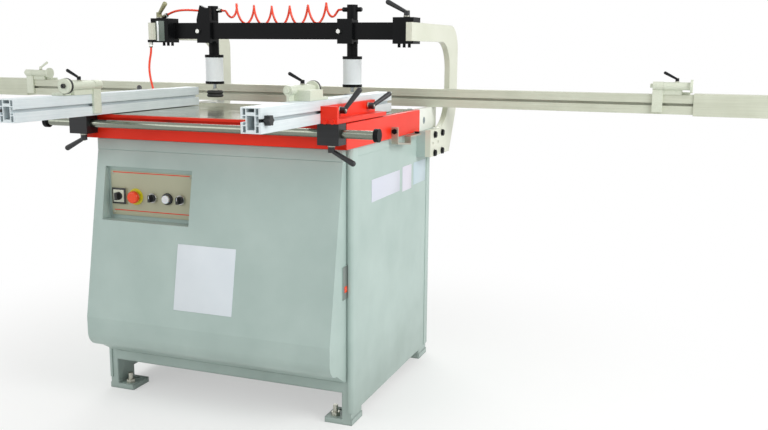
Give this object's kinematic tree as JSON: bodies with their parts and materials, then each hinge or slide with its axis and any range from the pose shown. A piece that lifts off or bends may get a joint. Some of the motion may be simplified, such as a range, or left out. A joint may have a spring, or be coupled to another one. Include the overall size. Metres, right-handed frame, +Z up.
{
  "type": "dowel boring machine",
  "caption": "Floor-standing dowel boring machine: cabinet with a tilting multi-spindle boring unit, table, long back fence, sliding side fences, swing stops and air hold-down beam.",
  "frame": {"origin": "centre of the four floor anchor holes, on the floor", "axes": "+X along the back fence to the operator's right, +Y to the rear, +Z up"},
  "size_m": [3.228, 1.396, 1.3171],
  "materials": {
    "cabinet_paint": "textured grey-green enamel",
    "red_paint": "gloss red enamel",
    "cream_paint": "satin cream enamel",
    "panel_paint": "satin tan film",
    "table_steel": "ground and polished",
    "bright_steel": "machined",
    "chrome": "hard chrome",
    "black_metal": "black oxide",
    "fence_aluminium": "natural anodised extrusion",
    "stop_metal": "cast, satin",
    "cylinder_metal": "anodised",
    "black_plastic": "glass-filled polyamide",
    "red_plastic": "moulded",
    "white_plastic": "moulded",
    "red_hose": "polyurethane",
    "black_rubber": "moulded",
    "motor_paint": "grey enamel",
    "zinc_steel": "zinc plated"
  },
  "bodies": {
    "root": {"base_frame": "cabinet_paint", "fixing_bolts": "zinc_steel", "left_side_panel": "cabinet_paint", "right_side_panel": "cabinet_paint", "rear_cover": "cabinet_paint", "front_cover": "cabinet_paint", "control_panel": "panel_paint", "table_frame": "red_paint", "table_plate": "table_steel", "guide_rod": "chrome", "rear_side_plates": "cream_paint", "back_fence": "fence_aluminium", "left_arm": "cream_paint", "right_arm": "cream_paint", "tilt_lock_strap": "bright_steel", "supply_hose": "red_hose"},
    "tilt_unit": {"tilt_cradle": "motor_paint", "feed_cylinders": "cylinder_metal"},
    "feed_unit": {"gear_case": "motor_paint", "drive_motor": "motor_paint", "drill_spindles": "bright_steel"},
    "drive_spindle": {"drive_spindle": "bright_steel"},
    "beam": {"hold_down_beam": "black_metal", "link_hose": "red_hose"},
    "left_head": {"left_clamp_head": "black_metal", "left_cylinder": "cylinder_metal", "spiral_hose": "red_hose"},
    "right_head": {"right_clamp_head": "black_metal", "right_cylinder": "cylinder_metal"},
    "left_beam_lever": {"left_beam_lever": "black_plastic"},
    "left_foot": {"left_pressure_foot": "black_rubber"},
    "left_carrier": {"left_slide_block": "black_metal", "left_fence_bracket": "red_paint"},
    "left_block_lever": {"left_block_lever": "black_plastic"},
    "left_fence": {"left_side_fence": "fence_aluminium"},
    "left_end_knob": {"left_end_knob": "black_plastic"},
    "left_front_bracket_lever": {"left_front_bracket_lever": "black_plastic"},
    "left_rear_bracket_lever": {"left_rear_bracket_lever": "black_plastic"},
    "right_beam_lever": {"right_beam_lever": "black_plastic"},
    "right_foot": {"right_pressure_foot": "black_rubber"},
    "right_carrier": {"right_slide_block": "black_metal", "right_fence_bracket": "red_paint"},
    "right_block_lever": {"right_block_lever": "black_plastic"},
    "right_fence": {"right_side_fence": "fence_aluminium"},
    "right_end_knob": {"right_end_knob": "black_plastic"},
    "right_front_bracket_lever": {"right_front_bracket_lever": "black_plastic"},
    "right_rear_bracket_lever": {"right_rear_bracket_lever": "black_plastic"},
    "back_left_stop": {"back_left_stop_body": "stop_metal"},
    "back_left_stop_arm": {"back_left_stop_arm": "stop_metal"},
    "back_right_stop": {"back_right_stop_body": "stop_metal"},
    "back_right_stop_arm": {"back_right_stop_arm": "stop_metal"},
    "side_left_stop": {"side_left_stop_body": "stop_metal"},
    "side_left_stop_arm": {"side_left_stop_arm": "stop_metal"},
    "side_right_stop": {"side_right_stop_body": "stop_metal"},
    "side_right_stop_arm": {"side_right_stop_arm": "stop_metal"},
    "main_switch_knob": {"main_switch_knob": "black_plastic"},
    "selector_1": {"selector_1": "black_plastic"},
    "selector_2": {"selector_2": "black_plastic"},
    "stop_button": {"stop_button": "red_plastic"},
    "push_button": {"push_button": "white_plastic"}
  },
  "joints": [
    {"name": "unit_tilt", "type": "hinge", "parent": "root", "child": "tilt_unit", "pos_m": [0, 0.27, 0.905], "axis": [1, 0, 0], "range_deg": [0, 45]},
    {"name": "unit_feed", "type": "slide", "parent": "tilt_unit", "child": "feed_unit", "axis": [0, 0, 1], "range_m": [0, 0.06]},
    {"name": "spindle_spin", "type": "hinge", "parent": "feed_unit", "child": "drive_spindle", "pos_m": [0, 0.27, 0.85], "axis": [0, 0, 1], "continuous": true},
    {"name": "beam_slide", "type": "slide", "parent": "root", "child": "beam", "axis": [0, 1, 0], "range_m": [0, 0.05], "deforming": ["supply_hose"]},
    {"name": "left_head_slide", "type": "slide", "parent": "beam", "child": "left_head", "axis": [1, 0, 0], "range_m": [-0.05, 0.04], "deforming": ["link_hose"]},
    {"name": "right_head_slide", "type": "slide", "parent": "left_head", "child": "right_head", "axis": [1, 0, 0], "range_m": [-0.15, 0.06], "deforming": ["spiral_hose"]},
    {"name": "left_beam_lever_turn", "type": "hinge", "parent": "beam", "child": "left_beam_lever", "pos_m": [-0.493, 0.054, 1.265], "axis": [0, 0, 1], "range_deg": [-60, 0]},
    {"name": "left_foot_press", "type": "slide", "parent": "left_head", "child": "left_foot", "axis": [0, 0, -1], "range_m": [0, 0.028], "stiffness_N_per_m": 1500, "springref_m": -0.012},
    {"name": "left_carrier_slide", "type": "slide", "parent": "root", "child": "left_carrier", "axis": [-1, 0, 0], "range_m": [-0.15, 0.08]},
    {"name": "left_block_lever_turn", "type": "hinge", "parent": "left_carrier", "child": "left_block_lever", "pos_m": [-0.428, -0.476, 0.88], "axis": [0, 0, 1], "range_deg": [-30, 30]},
    {"name": "left_fence_slide", "type": "slide", "parent": "left_carrier", "child": "left_fence", "axis": [0, 1, 0], "range_m": [-0.2, 0]},
    {"name": "left_end_knob_turn", "type": "hinge", "parent": "left_fence", "child": "left_end_knob", "pos_m": [-0.41, -0.826, 0.9805], "axis": [1, 0, 0], "continuous": true},
    {"name": "left_front_bracket_lever_turn", "type": "hinge", "parent": "left_carrier", "child": "left_front_bracket_lever", "pos_m": [-0.42, -0.4, 0.9805], "axis": [1, 0, 0], "range_deg": [-40, 40]},
    {"name": "left_rear_bracket_lever_turn", "type": "hinge", "parent": "left_carrier", "child": "left_rear_bracket_lever", "pos_m": [-0.42, -0.174, 0.9805], "axis": [1, 0, 0], "range_deg": [-40, 40]},
    {"name": "right_beam_lever_turn", "type": "hinge", "parent": "beam", "child": "right_beam_lever", "pos_m": [0.466, 0.054, 1.265], "axis": [0, 0, 1], "range_deg": [0, 60]},
    {"name": "right_foot_press", "type": "slide", "parent": "right_head", "child": "right_foot", "axis": [0, 0, -1], "range_m": [0, 0.028], "stiffness_N_per_m": 1500, "springref_m": -0.012},
    {"name": "right_carrier_slide", "type": "slide", "parent": "root", "child": "right_carrier", "axis": [1, 0, 0], "range_m": [-0.15, 0.08]},
    {"name": "right_block_lever_turn", "type": "hinge", "parent": "right_carrier", "child": "right_block_lever", "pos_m": [0.428, -0.476, 0.88], "axis": [0, 0, 1], "range_deg": [-30, 30]},
    {"name": "right_fence_slide", "type": "slide", "parent": "right_carrier", "child": "right_fence", "axis": [0, 1, 0], "range_m": [-0.2, 0]},
    {"name": "right_end_knob_turn", "type": "hinge", "parent": "right_fence", "child": "right_end_knob", "pos_m": [0.41, -0.826, 0.9805], "axis": [1, 0, 0], "continuous": true},
    {"name": "right_front_bracket_lever_turn", "type": "hinge", "parent": "right_carrier", "child": "right_front_bracket_lever", "pos_m": [0.42, -0.4, 0.9805], "axis": [1, 0, 0], "range_deg": [-40, 40]},
    {"name": "right_rear_bracket_lever_turn", "type": "hinge", "parent": "right_carrier", "child": "right_rear_bracket_lever", "pos_m": [0.42, -0.174, 0.9805], "axis": [1, 0, 0], "range_deg": [-40, 40]},
    {"name": "back_left_stop_slide", "type": "slide", "parent": "root", "child": "back_left_stop", "axis": [1, 0, 0], "range_m": [0, 0.8]},
    {"name": "back_left_stop_swing", "type": "hinge", "parent": "back_left_stop", "child": "back_left_stop_arm", "pos_m": [-1.367, 0.3517, 1.042], "axis": [-1, 0, 0], "range_deg": [0, 100]},
    {"name": "back_right_stop_slide", "type": "slide", "parent": "root", "child": "back_right_stop", "axis": [1, 0, 0], "range_m": [-0.7, 0]},
    {"name": "back_right_stop_swing", "type": "hinge", "parent": "back_right_stop", "child": "back_right_stop_arm", "pos_m": [1.2547, 0.3517, 1.042], "axis": [-1, 0, 0], "range_deg": [0, 100]},
    {"name": "side_left_stop_slide", "type": "slide", "parent": "left_fence", "child": "side_left_stop", "axis": [0, 1, 0], "range_m": [-0.1, 0.3]},
    {"name": "side_left_stop_swing", "type": "hinge", "parent": "side_left_stop", "child": "side_left_stop_arm", "pos_m": [-0.3457, -0.5097, 1.042], "axis": [0, -1, 0], "range_deg": [0, 100]},
    {"name": "side_right_stop_slide", "type": "slide", "parent": "right_fence", "child": "side_right_stop", "axis": [0, 1, 0], "range_m": [-0.2, 0.25]},
    {"name": "side_right_stop_swing", "type": "hinge", "parent": "side_right_stop", "child": "side_right_stop_arm", "pos_m": [0.3457, -0.5673, 1.042], "axis": [0, 1, 0], "range_deg": [0, 100]},
    {"name": "main_switch_knob_turn", "type": "hinge", "parent": "root", "child": "main_switch_knob", "pos_m": [-0.355, -0.409, 0.68], "axis": [0, -1, 0], "range_deg": [0, 90]},
    {"name": "selector_1_turn", "type": "hinge", "parent": "root", "child": "selector_1", "pos_m": [-0.229, -0.409, 0.68], "axis": [0, -1, 0], "range_deg": [-45, 45]},
    {"name": "selector_2_turn", "type": "hinge", "parent": "root", "child": "selector_2", "pos_m": [-0.125, -0.409, 0.68], "axis": [0, -1, 0], "range_deg": [-45, 45]},
    {"name": "stop_button_press", "type": "slide", "parent": "root", "child": "stop_button", "axis": [0, 1, 0], "range_m": [0, 0.005], "stiffness_N_per_m": 500, "springref_m": -0.002},
    {"name": "push_button_press", "type": "slide", "parent": "root", "child": "push_button", "axis": [0, 1, 0], "range_m": [0, 0.004], "stiffness_N_per_m": 500, "springref_m": -0.002}
  ]
}
